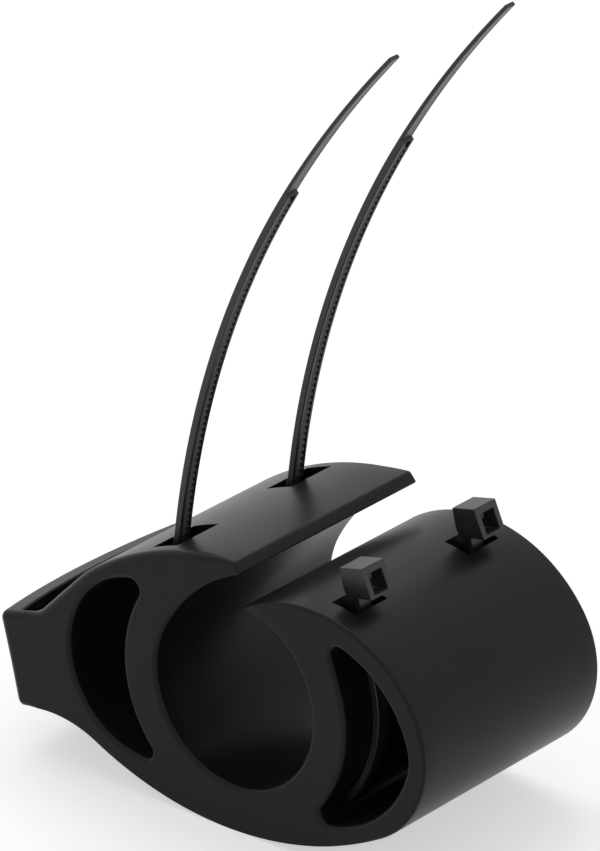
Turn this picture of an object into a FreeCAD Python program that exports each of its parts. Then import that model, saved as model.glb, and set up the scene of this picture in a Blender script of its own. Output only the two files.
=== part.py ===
import FreeCAD, Part
import math
import os
import Sketcher
from FreeCAD import Placement, Rotation, Vector

# Handlebar smartwatch holder, in millimetres: one moulded rubber body that grips a
# handlebar, and two nylon cable ties threaded through it.
# Frame: origin on the bore axis half way along it, Y along the handlebar, Z up,
# and X from the end block with its shelf (-X) to the round lobe (+X).

# Driving dimensions: alias, value and what it measures.
SIZES = [
    ("BodyDepth", 40.4, "length of the body along the handlebar"),
    ("EdgeBevel", 0.5, "bevel round the front and back outlines"),
    ("BoreRadius", 14.3, "relaxed bore, between a 25.4 and a 31.8 bar"),
    ("JawAngle", 85.0, "where the bore ends at the sharp jaw, from +X"),
    ("JawTopRadius", 24.0, "top of the sharp jaw"),
    ("LobeX", 18.8, "centre of the round lobe"),
    ("LobeZ", -0.3, "centre of the round lobe"),
    ("LobeRadius", 16.1, "outside of the round lobe"),
    ("BellyX", -0.5, "centre of the long underside curve"),
    ("BellyRadius", 55.2, "long underside curve"),
    ("HollowX", -33.9, "centre of the hollow under the end block"),
    ("HollowRadius", 20.7, "hollow under the end block"),
    ("DomeX", 0.9, "centre of the dome curve"),
    ("DomeTop", 20.8, "highest point of the dome curve"),
    ("DomeRadius", 49.0, "dome curve"),
    ("FlankX", -15.05, "centre of the flank curve"),
    ("FlankRadius", 17.7, "flank curve between ramp and dome"),
    ("LipRound", 1.2, "rounded tip of the upper jaw"),
    ("LipUnderX", 11.7, "centre of the curve under the upper jaw"),
    ("LipUnderRadius", 28.0, "curve under the upper jaw"),
    ("RampAngle", 45.6, "slope of the ramp from the shelf to the flank"),
    ("BendRadius", 5.4, "hollow between shelf and ramp"),
    ("EndTilt", 14.1, "lean of the end face from upright"),
    ("EndX", -46.55, "corner of end face and shelf at half depth"),
    ("EndZ", -0.95, "corner of end face and shelf at half depth"),
    ("EndBow", 72.0, "plan radius of the bowed end face"),
    ("CornerBevel", 0.6, "bevel above and below the end face"),
    ("WebThickness", 6.2, "ring of material round the bore"),
    ("LeftHollowX", -17.0, "centre of the left cavity's outer wall"),
    ("LeftHollowZ", -1.4, "centre of the left cavity's outer wall"),
    ("LeftHollowRadius", 13.7, "outer wall of the left cavity"),
    ("SkinThickness", 2.8, "skin of the lobe outside the right cavity"),
    ("CavityRound", 1.15, "rounded ends of both cavities"),
    ("PocketWall", 3.0, "walls round the pocket in the shelf"),
    ("PocketLength", 9.2, "pocket, square to the end face"),
    ("PocketDepth", 9.5, "pocket, down from the shelf"),
    ("RimBevel", 0.45, "bevel round the pocket's mouth"),
    ("TieInset", 7.4, "from the front and back faces to the ties"),
    ("DomeSlotLeft", -18.3, "edge of the dome slots"),
    ("DomeSlotRight", -12.4, "edge of the dome slots"),
    ("DomeSlotWidth", 9.3, "dome slots along the bore"),
    ("LobeSlotLeft", 12.6, "edge of the lobe slots"),
    ("LobeSlotRight", 19.55, "edge of the lobe slots"),
    ("LobeSlotWidth", 6.5, "lobe slots and tunnels along the bore"),
    ("TunnelClearance", 0.9, "tunnel below the strap"),
    ("TunnelRadius", 45.0, "curve of the strap under the bore"),
    ("TunnelDepth", 17.9, "strap centre under the bore axis"),
    ("StrapWidth", 2.5, "cable tie strap"),
    ("StrapThickness", 1.1, "cable tie strap"),
    ("StrapGap", 0.1, "between strap and ring"),
    ("StrapBend", 8.0, "tight bends at the tunnel's ends"),
    ("NeckAngle", 13.0, "where the strap leaves the ring for the head"),
    ("NeckLength", 14.3, "straight run from the ring to the head"),
    ("ExitX", -14.9, "strap centre in the dome slot"),
    ("ExitZ", 18.9, "strap centre in the dome slot"),
    ("ExitAngle", 83.1, "direction of the strap in the dome slot"),
    ("ExitBend", 12.0, "bend below the dome slot"),
    ("TailRadius", 143.0, "lower, tighter curve of the tail"),
    ("TailLength", 61.5, "lower curve of the tail, with teeth"),
    ("TipRadius", 167.0, "upper, flatter curve of the tail"),
    ("TipLength", 30.5, "upper curve of the tail, smooth and thin"),
    ("TipWidth", 1.75, "width of the tail's end"),
    ("TipThickness", 0.5, "smooth part of the tail"),
    ("ToothPitch", 1.05, "ratchet teeth"),
    ("ToothDepth", 0.5, "ratchet teeth"),
    ("ToothWidth", 1.5, "toothed band between the strap's rails"),
    ("HeadWidth", 4.6, "head along the bore"),
    ("HeadHeight", 4.6, "head along the strap"),
    ("HeadBack", 1.0, "head behind the strap's centre"),
    ("HeadFront", 3.1, "head before the strap's centre, at its top"),
    ("HeadFoot", 4.0, "head before the strap's centre, at its foot"),
    ("ShoulderHeight", 1.8, "slope from the head's sides to the strap"),
    ("WindowWidth", 3.0, "opening through the head"),
    ("WindowLow", 0.45, "lower edge of the opening"),
    ("WindowHigh", 3.55, "upper edge of the opening"),
    ("PawlWidth", 2.2, "ratchet tongue in the opening"),
    ("PawlThickness", 0.8, "ratchet tongue in the opening"),
]

doc = FreeCAD.newDocument("WatchHolder")
sheet = doc.addObject("Spreadsheet::Sheet", "Sizes")
for row, (alias, value, meaning) in enumerate(SIZES, start=1):
    sheet.set(f"A{row}", alias)
    sheet.set(f"B{row}", str(value))
    sheet.set(f"C{row}", meaning)
    sheet.setAlias(f"B{row}", alias)
doc.recompute()


def size(alias):
    """The value of one driving dimension."""
    return float(sheet.get(alias))


def polar(angle, length=1.0):
    """A vector in the sketch plane from its direction in degrees and its length."""
    return Vector(length * math.cos(math.radians(angle)), length * math.sin(math.radians(angle)), 0)


def heading(vector):
    """The direction of a vector in the sketch plane, in radians."""
    return math.atan2(vector.y, vector.x)


def toward(start, end, length):
    """The point at a length from start in the direction of end."""
    return start + (end - start).normalize() * length


def crossing(first, first_radius, second, second_radius, side):
    """Where two circles cross: side 1 is left of the line from first to second, -1 right."""
    apart = (second - first).Length
    along = (apart**2 + first_radius**2 - second_radius**2) / (2 * apart)
    across = math.sqrt(first_radius**2 - along**2)
    axis = (second - first).normalize()
    return first + axis * along + Vector(-axis.y, axis.x, 0) * across * side


class Outline:
    """A closed sketch of lines and arcs that follow each other, with its constraints."""

    def __init__(self, body, name, plane="XZ_Plane", offset=None):
        self.sketch = body.newObject("Sketcher::SketchObject", name)
        origin_planes = [part for part in body.Origin.OriginFeatures if part.Role == plane]
        self.sketch.AttachmentSupport = [(origin_planes[0], "")]
        self.sketch.MapMode = "FlatFace"
        if offset is not None:
            self.sketch.AttachmentOffset = offset
        self.ends = []

    def line(self, start, end):
        """A straight piece of the outline."""
        index = self.sketch.addGeometry(Part.LineSegment(start, end), False)
        self.ends.append((index, 1, 2))
        return index

    def arc(self, centre, start, end, turn):
        """An arc of the outline: turn 1 runs anticlockwise from start to end, -1 clockwise."""
        circle = Part.Circle(centre, Vector(0, 0, 1), (start - centre).Length)
        first, last = (start, end) if turn > 0 else (end, start)
        curve = Part.ArcOfCircle(circle, heading(first - centre), heading(last - centre))
        index = self.sketch.addGeometry(curve, False)
        self.ends.append((index, 1, 2) if turn > 0 else (index, 2, 1))
        return index

    def join(self, corners=()):
        """Join each piece to the next, smoothly or, after the pieces in corners, at a corner."""
        following = self.ends[1:] + self.ends[:1]
        for (piece, _, piece_end), (successor, successor_start, _) in zip(self.ends, following):
            kind = "Coincident" if piece in corners else "Tangent"
            self.sketch.addConstraint(
                Sketcher.Constraint(kind, piece, piece_end, successor, successor_start)
            )

    def bind(self, kind, *reference, value, alias):
        """A dimension of the sketch, driven by a cell or by an expression of cells."""
        constraint = Sketcher.Constraint(kind, *reference, value)
        number = self.sketch.addConstraint(constraint)
        self.sketch.setExpression(f"Constraints[{number}]", alias)

    def radius(self, piece, alias, value):
        self.bind("Radius", piece, value=value, alias=alias)

    def centre_x(self, piece, alias, value):
        self.bind("DistanceX", -1, 1, piece, 3, value=value, alias=alias)

    def centre_z(self, piece, alias, value):
        self.bind("DistanceY", -1, 1, piece, 3, value=value, alias=alias)

    def centre_at_origin(self, piece):
        self.sketch.addConstraint(Sketcher.Constraint("Coincident", piece, 3, -1, 1))


def polygon(body, name, points, plane="XZ_Plane", offset=None):
    """A sketch with straight sides through points worked out from the sizes."""
    outline = Outline(body, name, plane, offset)
    for start, end in zip(points, points[1:] + points[:1]):
        outline.line(start, end)
    return outline.sketch


def pad(body, name, sketch, length):
    """A prism to both sides of the sketch, its length an expression of the sizes."""
    feature = body.newObject("PartDesign::Pad", name)
    feature.Profile = sketch
    feature.SideType = "Symmetric"
    feature.setExpression("Length", length)
    return feature


def pocket(body, name, sketch, length):
    """A cut to both sides of the sketch, its length an expression of the sizes."""
    feature = body.newObject("PartDesign::Pocket", name)
    feature.Profile = sketch
    feature.SideType = "Symmetric"
    feature.setExpression("Length", length)
    return feature


# Places that several pieces share, worked out from the sizes.

ORIGIN = Vector(0, 0, 0)
TOUCH = 0.001
TIE_PLACE = "Sizes.BodyDepth / 2 - Sizes.TieInset"
bore = size("BoreRadius")
ring = bore + size("WebThickness")
lobe = Vector(size("LobeX"), size("LobeZ"), 0)
lobe_radius = size("LobeRadius")
belly_radius = size("BellyRadius")
belly_drop = lobe.x - size("BellyX")
belly = Vector(size("BellyX"), lobe.y + math.sqrt((belly_radius - lobe_radius) ** 2 - belly_drop**2), 0)
jaw_edge = polar(size("JawAngle"), bore)
jaw_radius = size("JawTopRadius")
jaw_top = crossing(jaw_edge, jaw_radius, lobe, jaw_radius - lobe_radius, -1)
strap_ring = ring + size("StrapGap") + size("StrapThickness") / 2


def holder_profile(body):
    """The outline of the body seen along the handlebar, with the bore and its slit.

    It runs clockwise from the end face over the shelf, the ramp, the flank and the dome to
    the lip, back round the bore to the sharp jaw, and over the lobe and the belly.
    """
    tilt = size("EndTilt")
    end_up = polar(90 + tilt)
    shelf_along = polar(tilt)
    corner = Vector(size("EndX"), size("EndZ"), 0)

    dome_radius = size("DomeRadius")
    dome = Vector(size("DomeX"), size("DomeTop") - dome_radius, 0)
    flank_radius = size("FlankRadius")
    flank_rise = math.sqrt((dome_radius - flank_radius) ** 2 - (size("FlankX") - dome.x) ** 2)
    flank = Vector(size("FlankX"), dome.y + flank_rise, 0)
    ramp_angle = size("RampAngle")
    ramp_along = polar(ramp_angle)
    ramp_top = flank + polar(90 + ramp_angle, flank_radius)

    # The shelf and the ramp would meet at fold, at this length from the end corner.
    gap = ramp_top - corner
    fold_length = (gap.x * ramp_along.y - gap.y * ramp_along.x) / math.sin(math.radians(ramp_angle - tilt))
    fold = corner + shelf_along * fold_length
    bend_radius = size("BendRadius")
    bend_reach = bend_radius * math.tan(math.radians((ramp_angle - tilt) / 2))
    bend = fold - shelf_along * bend_reach + end_up * bend_radius

    under_radius = size("LipUnderRadius")
    under_x = size("LipUnderX")
    under = Vector(under_x, -math.sqrt((under_radius - bore) ** 2 - under_x**2), 0)
    lip_round = size("LipRound")
    lip = crossing(dome, dome_radius - lip_round, under, under_radius + lip_round, 1)

    hollow_radius = size("HollowRadius")
    hollow_drop = math.sqrt((belly_radius + hollow_radius) ** 2 - (size("HollowX") - belly.x) ** 2)
    hollow = Vector(size("HollowX"), belly.y - hollow_drop, 0)
    # The end face runs down from the corner until it meets the hollow.
    foot = corner - hollow
    drop = foot.dot(end_up) - math.sqrt(hollow_radius**2 - foot.dot(shelf_along) ** 2)
    low_corner = corner - end_up * drop

    outline = Outline(body, "ProfileSketch")
    end_face = outline.line(low_corner, corner)
    shelf = outline.line(corner, fold - shelf_along * bend_reach)
    bend_arc = outline.arc(bend, fold - shelf_along * bend_reach, fold + ramp_along * bend_reach, 1)
    ramp = outline.line(fold + ramp_along * bend_reach, ramp_top)
    flank_top = toward(dome, flank, dome_radius)
    flank_arc = outline.arc(flank, ramp_top, flank_top, -1)
    lip_start = toward(dome, lip, dome_radius)
    dome_arc = outline.arc(dome, flank_top, lip_start, -1)
    lip_end = toward(under, lip, under_radius)
    lip_arc = outline.arc(lip, lip_start, lip_end, -1)
    bore_start = toward(ORIGIN, under, -bore)
    under_arc = outline.arc(under, lip_end, bore_start, 1)
    bore_arc = outline.arc(ORIGIN, bore_start, jaw_edge, 1)
    lobe_start = toward(jaw_top, lobe, jaw_radius)
    jaw_arc = outline.arc(jaw_top, jaw_edge, lobe_start, -1)
    belly_start = toward(belly, lobe, belly_radius)
    lobe_arc = outline.arc(lobe, lobe_start, belly_start, -1)
    hollow_start = toward(belly, hollow, belly_radius)
    belly_arc = outline.arc(belly, belly_start, hollow_start, -1)
    hollow_arc = outline.arc(hollow, hollow_start, low_corner, 1)
    outline.join(corners=[end_face, bore_arc, hollow_arc])

    outline.radius(bend_arc, "Sizes.BendRadius", bend_radius)
    outline.radius(flank_arc, "Sizes.FlankRadius", flank_radius)
    outline.radius(dome_arc, "Sizes.DomeRadius", dome_radius)
    outline.radius(lip_arc, "Sizes.LipRound", lip_round)
    outline.radius(under_arc, "Sizes.LipUnderRadius", under_radius)
    outline.radius(bore_arc, "Sizes.BoreRadius", bore)
    outline.radius(jaw_arc, "Sizes.JawTopRadius", jaw_radius)
    outline.radius(lobe_arc, "Sizes.LobeRadius", lobe_radius)
    outline.radius(belly_arc, "Sizes.BellyRadius", belly_radius)
    outline.radius(hollow_arc, "Sizes.HollowRadius", hollow_radius)
    outline.centre_at_origin(bore_arc)
    outline.centre_x(lobe_arc, "Sizes.LobeX", lobe.x)
    outline.centre_z(lobe_arc, "Sizes.LobeZ", lobe.y)
    outline.centre_x(dome_arc, "Sizes.DomeX", dome.x)
    outline.centre_z(dome_arc, "Sizes.DomeTop - Sizes.DomeRadius", dome.y)
    outline.centre_x(flank_arc, "Sizes.FlankX", flank.x)
    outline.centre_x(under_arc, "Sizes.LipUnderX", under.x)
    outline.centre_x(belly_arc, "Sizes.BellyX", belly.x)
    outline.centre_x(hollow_arc, "Sizes.HollowX", hollow.x)
    outline.bind("DistanceX", -1, 1, end_face, 2, value=corner.x, alias="Sizes.EndX")
    outline.bind("DistanceY", -1, 1, end_face, 2, value=corner.y, alias="Sizes.EndZ")
    outline.bind("Angle", end_face, value=math.radians(90 + tilt), alias="90 + Sizes.EndTilt")
    outline.bind("Angle", ramp, value=math.radians(ramp_angle), alias="Sizes.RampAngle")
    outline.sketch.addConstraint(Sketcher.Constraint("Perpendicular", end_face, shelf))
    spoke = outline.sketch.addGeometry(Part.LineSegment(ORIGIN, jaw_edge), True)
    outline.sketch.addConstraint(Sketcher.Constraint("Coincident", spoke, 1, -1, 1))
    outline.sketch.addConstraint(Sketcher.Constraint("Coincident", spoke, 2, jaw_arc, 2))
    outline.bind("Angle", spoke, value=math.radians(size("JawAngle")), alias="Sizes.JawAngle")
    return outline.sketch


def check(stage):
    """Recompute, and stop at any object that failed."""
    doc.recompute()
    for item in doc.Objects:
        if "Invalid" in item.State or "Error" in item.State:
            raise RuntimeError(f"{stage}: {item.Name} is {item.State}")


def end_frame(down=0.0):
    """A plane square to the end face, through its top corner or a length below that."""
    tilt = size("EndTilt")
    corner = Vector(size("EndX"), size("EndZ"), 0) - polar(90 + tilt, down)
    return Placement(Vector(corner.x, 0, corner.y), Rotation(Vector(0, 1, 0), -tilt))


def bow_region(body):
    """What the bowed end face leaves off, seen along that face."""
    bow = size("EndBow")
    half = 0.6 * size("BodyDepth")
    reach = bow - math.sqrt(bow**2 - half**2)
    outside = -bow / 10
    centre = Vector(bow, 0, 0)
    outline = Outline(body, "BowSketch", "XY_Plane", end_frame())
    face = outline.arc(centre, Vector(reach, half, 0), Vector(reach, -half, 0), 1)
    below = outline.line(Vector(reach, -half, 0), Vector(outside, -half, 0))
    far = outline.line(Vector(outside, -half, 0), Vector(outside, half, 0))
    above = outline.line(Vector(outside, half, 0), Vector(reach, half, 0))
    outline.join(corners=[face, below, far, above])
    outline.radius(face, "Sizes.EndBow", bow)
    outline.centre_x(face, "Sizes.EndBow", bow)
    outline.sketch.addConstraint(Sketcher.Constraint("PointOnObject", face, 3, -1))
    outline.bind("DistanceY", -1, 1, far, 2, value=half, alias="0.6 * Sizes.BodyDepth")
    outline.bind("DistanceY", -1, 1, far, 1, value=-half, alias="-0.6 * Sizes.BodyDepth")
    outline.bind("DistanceX", -1, 1, far, 1, value=outside, alias="-Sizes.EndBow / 10")
    outline.sketch.addConstraint(Sketcher.Constraint("Horizontal", below))
    outline.sketch.addConstraint(Sketcher.Constraint("Horizontal", above))
    outline.sketch.addConstraint(Sketcher.Constraint("Vertical", far))
    return outline.sketch


def left_cavity(body):
    """The crescent between the ring round the bore and the flank."""
    outer = Vector(size("LeftHollowX"), size("LeftHollowZ"), 0)
    outer_radius = size("LeftHollowRadius")
    end_radius = size("CavityRound")
    upper = crossing(ORIGIN, ring + end_radius, outer, outer_radius - end_radius, -1)
    lower = crossing(ORIGIN, ring + end_radius, outer, outer_radius - end_radius, 1)
    upper_out = toward(outer, upper, outer_radius)
    lower_out = toward(outer, lower, outer_radius)
    upper_in = toward(ORIGIN, upper, ring)
    lower_in = toward(ORIGIN, lower, ring)
    outline = Outline(body, "LeftCavitySketch")
    outer_arc = outline.arc(outer, upper_out, lower_out, 1)
    lower_arc = outline.arc(lower, lower_out, lower_in, 1)
    ring_arc = outline.arc(ORIGIN, lower_in, upper_in, -1)
    upper_arc = outline.arc(upper, upper_in, upper_out, 1)
    outline.join()
    outline.radius(outer_arc, "Sizes.LeftHollowRadius", outer_radius)
    outline.radius(lower_arc, "Sizes.CavityRound", end_radius)
    outline.radius(upper_arc, "Sizes.CavityRound", end_radius)
    outline.radius(ring_arc, "Sizes.BoreRadius + Sizes.WebThickness", ring)
    outline.centre_at_origin(ring_arc)
    outline.centre_x(outer_arc, "Sizes.LeftHollowX", outer.x)
    outline.centre_z(outer_arc, "Sizes.LeftHollowZ", outer.y)
    return outline.sketch


def right_cavity(body):
    """The space between the ring and the skin of the lobe, pointed at its lower end."""
    skin = size("SkinThickness")
    end_radius = size("CavityRound")
    upper = crossing(ORIGIN, ring + end_radius, lobe, lobe_radius - skin - end_radius, 1)
    lower = crossing(ORIGIN, ring + end_radius, belly, belly_radius - skin - end_radius, -1)
    upper_out = toward(lobe, upper, lobe_radius - skin)
    lower_out = toward(belly, lower, belly_radius - skin)
    middle = toward(belly, lobe, belly_radius - skin)
    upper_in = toward(ORIGIN, upper, ring)
    lower_in = toward(ORIGIN, lower, ring)
    outline = Outline(body, "RightCavitySketch")
    belly_arc = outline.arc(belly, lower_out, middle, 1)
    lobe_arc = outline.arc(lobe, middle, upper_out, 1)
    upper_arc = outline.arc(upper, upper_out, upper_in, 1)
    ring_arc = outline.arc(ORIGIN, upper_in, lower_in, -1)
    lower_arc = outline.arc(lower, lower_in, lower_out, 1)
    outline.join()
    outline.radius(belly_arc, "Sizes.BellyRadius - Sizes.SkinThickness", belly_radius - skin)
    outline.radius(lobe_arc, "Sizes.LobeRadius - Sizes.SkinThickness", lobe_radius - skin)
    outline.radius(upper_arc, "Sizes.CavityRound", end_radius)
    outline.radius(lower_arc, "Sizes.CavityRound", end_radius)
    outline.radius(ring_arc, "Sizes.BoreRadius + Sizes.WebThickness", ring)
    outline.centre_at_origin(ring_arc)
    outline.centre_x(lobe_arc, "Sizes.LobeX", lobe.x)
    outline.centre_z(lobe_arc, "Sizes.LobeZ", lobe.y)
    outline.centre_x(belly_arc, "Sizes.BellyX", belly.x)
    return outline.sketch


def edges_where(shape, test):
    """The names of a shape's edges that pass a test."""
    return [f"Edge{number}" for number, edge in enumerate(shape.Edges, start=1) if test(edge)]


def bevel(body, name, base, names, width):
    """Bevel the named edges of a feature, with a width from the sizes."""
    feature = body.newObject("PartDesign::Chamfer", name)
    feature.Base = (base, names)
    feature.setExpression("Size", width)
    return feature


def seen_from_end(edge):
    """The middle of an edge, in the directions of the end face."""
    middle = edge.valueAt((edge.FirstParameter + edge.LastParameter) / 2)
    return end_frame().inverse().multVec(middle)


def at_end_face(edge):
    """Whether an edge runs across the body where the bowed end meets shelf or hollow."""
    depth = size("BodyDepth")
    bow = size("EndBow")
    reach = bow - math.sqrt(bow**2 - depth**2 / 4)
    return edge.BoundBox.YLength > depth / 3 and seen_from_end(edge).x < reach


def on_front_or_back(edge):
    """Whether an edge lies in the front or back plane of the body."""
    half = size("BodyDepth") / 2
    box = edge.BoundBox
    return box.YLength < TOUCH and abs(abs(box.YMin) - half) < TOUCH


def on_pocket_mouth(edge):
    """Whether an edge is part of the shelf pocket's mouth."""
    wall = size("PocketWall")
    half = size("BodyDepth") / 2 - wall + TOUCH
    across = abs(edge.BoundBox.YMin) < half and abs(edge.BoundBox.YMax) < half
    middle = seen_from_end(edge)
    return across and middle.x < wall + size("PocketLength") + TOUCH and middle.z > -TOUCH


def shelf_pocket(body):
    """The hollow in the end block, seen on its floor: its outer wall follows the bow."""
    wall = size("PocketWall")
    bow = size("EndBow")
    half = size("BodyDepth") / 2 - wall
    inner = bow - wall
    near = bow - math.sqrt(inner**2 - half**2)
    far = wall + size("PocketLength")
    centre = Vector(bow, 0, 0)
    outline = Outline(body, "ShelfPocketSketch", "XY_Plane", end_frame(size("PocketDepth")))
    bowed = outline.arc(centre, Vector(near, half, 0), Vector(near, -half, 0), 1)
    front = outline.line(Vector(near, -half, 0), Vector(far, -half, 0))
    inside = outline.line(Vector(far, -half, 0), Vector(far, half, 0))
    back = outline.line(Vector(far, half, 0), Vector(near, half, 0))
    outline.join(corners=[bowed, front, inside, back])
    outline.radius(bowed, "Sizes.EndBow - Sizes.PocketWall", inner)
    outline.centre_x(bowed, "Sizes.EndBow", bow)
    outline.sketch.addConstraint(Sketcher.Constraint("PointOnObject", bowed, 3, -1))
    outline.bind("DistanceX", -1, 1, inside, 1, value=far, alias="Sizes.PocketWall + Sizes.PocketLength")
    outline.bind("DistanceY", -1, 1, inside, 2, value=half, alias="Sizes.BodyDepth / 2 - Sizes.PocketWall")
    outline.bind("DistanceY", inside, 1, -1, 1, value=half, alias="Sizes.BodyDepth / 2 - Sizes.PocketWall")
    outline.sketch.addConstraint(Sketcher.Constraint("Horizontal", front))
    outline.sketch.addConstraint(Sketcher.Constraint("Horizontal", back))
    outline.sketch.addConstraint(Sketcher.Constraint("Vertical", inside))
    return outline.sketch


def surface_height(x, centre, radius):
    """How high an upward curve of the outline is at x."""
    return centre.y + math.sqrt(radius**2 - (x - centre.x) ** 2)


def dome_slot(body, offset):
    """A slot from the dome into the left cavity, one wall touching the ring."""
    dome_radius = size("DomeRadius")
    dome = Vector(size("DomeX"), size("DomeTop") - dome_radius, 0)
    left = size("DomeSlotLeft")
    mouth = Vector(size("DomeSlotRight"), surface_height(size("DomeSlotRight"), dome, dome_radius), 0)
    touch_angle = math.degrees(heading(mouth) + math.acos(ring / mouth.Length))
    along = polar(touch_angle - 90)
    top = size("DomeTop") + size("StrapBend") / 4
    start = mouth + along * (left - mouth.x) / along.x
    end = mouth + along * (top - mouth.y) / along.y
    return polygon(body, "DomeSlotSketch", [start, end, Vector(left, top, 0)], offset=offset)


def lobe_slot(body, offset):
    """A slot from above the lobe into the right cavity.

    One wall touches the ring, and the other runs along the neck of the tie.
    """
    lean = polar(90 + size("NeckAngle"))
    right_x = size("LobeSlotRight")
    mouth = Vector(right_x, surface_height(right_x, jaw_top, jaw_radius), 0)
    left_x = size("LobeSlotLeft")
    left_mouth = Vector(left_x, surface_height(left_x, jaw_top, jaw_radius), 0)
    touch_angle = math.degrees(heading(left_mouth) - math.acos(ring / left_mouth.Length))
    along = polar(touch_angle + 90)
    top = jaw_top.y + jaw_radius + size("StrapBend") / 4
    bottom = lobe.y + lobe_radius / 2
    points = []
    for through, direction, height in [
        (left_mouth, along, bottom),
        (mouth, lean, bottom),
        (mouth, lean, top),
        (left_mouth, along, top),
    ]:
        points.append(through + direction * (height - through.y) / direction.y)
    return polygon(body, "LobeSlotSketch", points, offset=offset)


tunnel = Vector(0, size("TunnelRadius") - size("TunnelDepth"), 0)
bend_reach = strap_ring - size("StrapBend")
right_bend = crossing(tunnel, size("TunnelRadius") - size("StrapBend"), ORIGIN, bend_reach, 1)


def tunnel_band(body, offset):
    """The tunnel under the bore: its upper wall carries on from the ring on both sides."""
    half = size("StrapThickness") / 2
    over = half + size("StrapGap")
    under = half + size("TunnelClearance")
    bend = size("StrapBend")
    radius = size("TunnelRadius")
    left_bend = Vector(-right_bend.x, right_bend.y, 0)
    to_left = toward(tunnel, left_bend, 1) - tunnel
    to_right = toward(tunnel, right_bend, 1) - tunnel
    outline = Outline(body, "TunnelSketch", offset=offset)
    pieces = [
        (left_bend, toward(ORIGIN, left_bend, 1), to_left, bend, "Sizes.StrapBend"),
        (tunnel, to_left, to_right, radius, "Sizes.TunnelRadius"),
        (right_bend, to_right, toward(ORIGIN, right_bend, 1), bend, "Sizes.StrapBend"),
    ]
    arcs = []
    for centre, first, last, middle, alias in pieces:
        outer = middle + under
        arcs.append(outline.arc(centre, centre + first * outer, centre + last * outer, 1))
        outline.radius(arcs[-1], f"{alias} + Sizes.StrapThickness / 2 + Sizes.TunnelClearance", outer)
    right_out = right_bend + pieces[2][2] * (bend + under)
    right_in = right_bend + pieces[2][2] * (bend - over)
    right_end = outline.line(right_out, right_in)
    for centre, first, last, middle, alias in reversed(pieces):
        inner = middle - over
        arcs.append(outline.arc(centre, centre + last * inner, centre + first * inner, -1))
        outline.radius(arcs[-1], f"{alias} - Sizes.StrapThickness / 2 - Sizes.StrapGap", inner)
    left_in = left_bend + pieces[0][1] * (bend - over)
    left_out = left_bend + pieces[0][1] * (bend + under)
    left_end = outline.line(left_in, left_out)
    outline.join(corners=[arcs[2], right_end, arcs[5], left_end])
    return outline.sketch


def tie_offset():
    """Half the tie spacing to the back of the body, for sketches seen from the front."""
    return Placement(Vector(0, 0, size("TieInset") - size("BodyDepth") / 2), Rotation())


def mirrored(body, name, cut):
    """The mirror image of a cut, at the other side of the piece's middle plane."""
    mirror = body.newObject("PartDesign::Mirrored", name)
    middle = [part for part in body.Origin.OriginFeatures if part.Role == "XZ_Plane"]
    mirror.Originals = [cut]
    mirror.MirrorPlane = (middle[0], [""])
    body.Tip = mirror
    return mirror


holder = doc.addObject("PartDesign::Body", "HolderBody")
holder.Label = "holder_body"
profile = pad(holder, "ProfilePad", holder_profile(holder), "Sizes.BodyDepth")
check("profile")
bow = pocket(holder, "BowPocket", bow_region(holder), "2 * Sizes.BodyDepth")
check("bow")
corners = bevel(holder, "CornerBevel", bow, edges_where(bow.Shape, at_end_face), "Sizes.CornerBevel")
check("corners")
left = pocket(holder, "LeftCavity", left_cavity(holder), "1.2 * Sizes.BodyDepth")
right = pocket(holder, "RightCavity", right_cavity(holder), "1.2 * Sizes.BodyDepth")
check("cavities")
outline_edges = edges_where(right.Shape, on_front_or_back)
outlines = bevel(holder, "OutlineBevel", right, outline_edges, "Sizes.EdgeBevel")
check("outlines")
shelf = holder.newObject("PartDesign::Pocket", "ShelfPocket")
shelf.Profile = shelf_pocket(holder)
shelf.Reversed = True
shelf.setExpression("Length", "2 * Sizes.PocketDepth")
check("shelf pocket")
rim = bevel(holder, "RimBevel", shelf, edges_where(shelf.Shape, on_pocket_mouth), "Sizes.RimBevel")
check("rim")
for name, sketch, width in [
    ("DomeSlot", dome_slot(holder, tie_offset()), "Sizes.DomeSlotWidth"),
    ("LobeSlot", lobe_slot(holder, tie_offset()), "Sizes.LobeSlotWidth"),
    ("Tunnel", tunnel_band(holder, tie_offset()), "Sizes.LobeSlotWidth"),
]:
    cut = pocket(holder, name, sketch, width)
    sketch.setExpression("AttachmentOffset.Base.z", f"-({TIE_PLACE})")
    mirrored(holder, name + "Mirror", cut)
    check(name)


class Route:
    """The centre line of a strap: straight runs and arcs that follow each other smoothly."""

    def __init__(self, start, angle):
        self.pieces = []
        self.end = start
        self.angle = angle
        self.length = 0.0

    def run(self, length, radius=0.0, alias=None):
        """Add a run. The radius is 0 where it is straight, and negative for a right turn."""
        self.pieces.append((self.length, length, self.end, self.angle, radius, alias))
        self.length += length
        if radius:
            self.angle += math.degrees(length / radius)
        self.end = self.place(self.length)

    def arc_to(self, angle, radius, alias):
        """Add an arc that ends in a direction, turning the way that the radius's sign says."""
        self.run(math.radians(angle - self.angle) * radius, radius, alias)

    def place(self, distance, aside=0.0):
        """The point at a distance along the strap, to the left of its centre by aside."""
        passed = [piece for piece in self.pieces if piece[0] <= distance]
        begin, _, start, angle, radius, _ = passed[-1]
        along = distance - begin
        if radius == 0:
            return start + polar(angle, along) + polar(angle + 90, aside)
        turned = angle + math.degrees(along / radius)
        return start + polar(angle + 90, radius) - polar(turned + 90, radius - aside)

    def trace(self, outline, piece, aside, alias_aside, back=False):
        """Draw one face of a run, to the left of its centre by aside, forward or back."""
        begin, length, start, angle, radius, alias = piece
        ends = [self.place(begin, aside), self.place(begin + length, aside)]
        if back:
            ends.reverse()
        if radius == 0:
            return outline.line(*ends)
        turn = -1 if (radius > 0) == back else 1
        index = outline.arc(start + polar(angle + 90, radius), *ends, turn)
        sign = "-" if radius > 0 else "+"
        outline.radius(index, f"{alias} {sign} ({alias_aside})", abs(radius - aside))
        return index


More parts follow.
